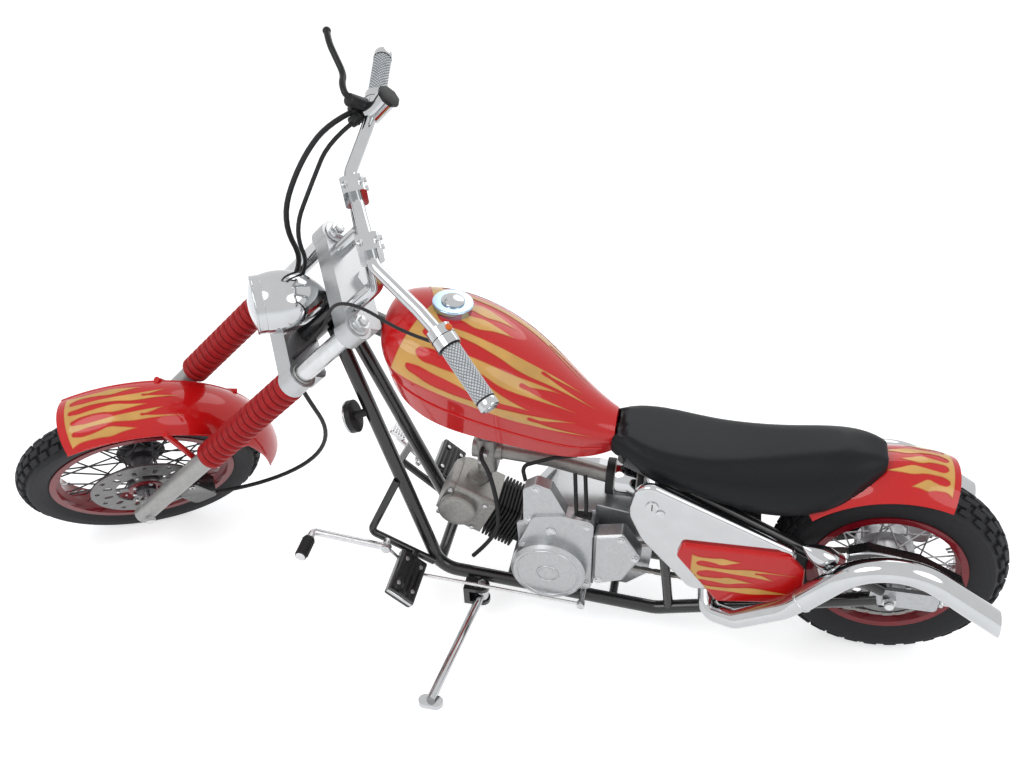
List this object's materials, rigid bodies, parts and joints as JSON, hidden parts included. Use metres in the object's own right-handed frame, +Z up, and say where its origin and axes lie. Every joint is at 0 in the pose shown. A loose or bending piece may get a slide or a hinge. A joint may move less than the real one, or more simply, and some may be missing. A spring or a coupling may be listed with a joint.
{
  "type": "mini chopper motorcycle",
  "caption": "Small chopper-style motorcycle with raked fork, teardrop tank, low seat, open engine and twin upswept exhausts, parked on its side stand.",
  "frame": {"origin": "on the ground under the middle of the whole, as parked on its side stand", "axes": "+X forward, +Y to the motorcycle's left, +Z up from the ground"},
  "size_m": [2.0176, 0.6098, 1.1482],
  "materials": {
    "tyre": "matte",
    "red_rim": "gloss",
    "red_paint": "gloss",
    "black_paint": "gloss",
    "chrome": "polished",
    "cast_alloy": "satin",
    "slider_alloy": "satin",
    "steel": "brushed",
    "barrel_black": "matte",
    "boot_red": "satin",
    "grip": "satin",
    "black_rubber": "satin",
    "black_plastic": "satin",
    "seat_vinyl": "satin",
    "lens": "clear"
  },
  "bodies": {
    "frame": {"backbone": "black_paint", "cradle_left": "black_paint", "cradle_right": "black_paint", "cross_tubes": "black_paint", "upper_stays": "black_paint", "dropouts": "cast_alloy", "rear_axle": "steel", "crankcase": "cast_alloy", "magneto_cover": "cast_alloy", "sprocket_cover": "cast_alloy", "clutch_cover": "cast_alloy", "cylinder": "barrel_black", "cylinder_head": "cast_alloy", "carburettor": "cast_alloy", "drive_chain": "steel", "exhaust_left": "chrome", "exhaust_right": "chrome", "exhaust_header": "chrome", "fuel_tank": "red_paint", "fuel_cap": "chrome", "rear_fender": "red_paint", "seat": "seat_vinyl", "battery_box": "black_plastic", "side_covers": "chrome", "side_panels": "red_paint", "rear_lamps": "chrome", "chain_guard": "black_paint", "pegs": "black_paint", "gear_lever": "steel", "brake_pedal": "steel", "stand_bracket": "black_paint", "horn": "black_plastic", "engine_leads": "black_rubber", "overflow_hose": "black_rubber"},
    "steering": {"front_axle": "steel", "fork_sliders": "slider_alloy", "fork_tubes": "slider_alloy", "fork_boots": "boot_red", "upper_clamp": "cast_alloy", "lower_clamp": "cast_alloy", "front_fender": "red_paint", "brake_caliper": "black_paint", "headlamp_shell": "chrome", "headlamp_lens": "lens", "handlebar": "chrome", "risers": "chrome", "grips": "grip", "bar_housings": "cast_alloy", "brake_lever": "black_plastic", "cables": "black_rubber"},
    "front_wheel": {"front_tyre": "tyre", "front_rim": "red_rim", "front_hub": "cast_alloy", "front_disc": "steel"},
    "rear_wheel": {"rear_tyre": "tyre", "rear_rim": "red_rim", "rear_hub": "cast_alloy", "rear_sprocket": "steel"},
    "side_stand": {"side_stand": "chrome"}
  },
  "joints": [
    {"name": "steering_turn", "type": "hinge", "parent": "frame", "child": "steering", "pos_m": [0.31637, -0.01732, 0.67261], "axis": [0.6852, -0.0877, -0.723], "range_deg": [0, 74]},
    {"name": "front_wheel_spin", "type": "hinge", "parent": "steering", "child": "front_wheel", "pos_m": [0.7821, -0.05103, 0.21908], "axis": [-0.4396, 0.7417, -0.5065], "continuous": true},
    {"name": "rear_wheel_spin", "type": "hinge", "parent": "frame", "child": "rear_wheel", "pos_m": [-0.78087, -0.07383, 0.22666], "axis": [-0.0016, 0.9925, -0.1219], "continuous": true},
    {"name": "side_stand_fold", "type": "hinge", "parent": "frame", "child": "side_stand", "pos_m": [0.01322, 0.02173, 0.07554], "axis": [0.0129, 0.1713, 0.9851], "range_deg": [0, 88]}
  ]
}
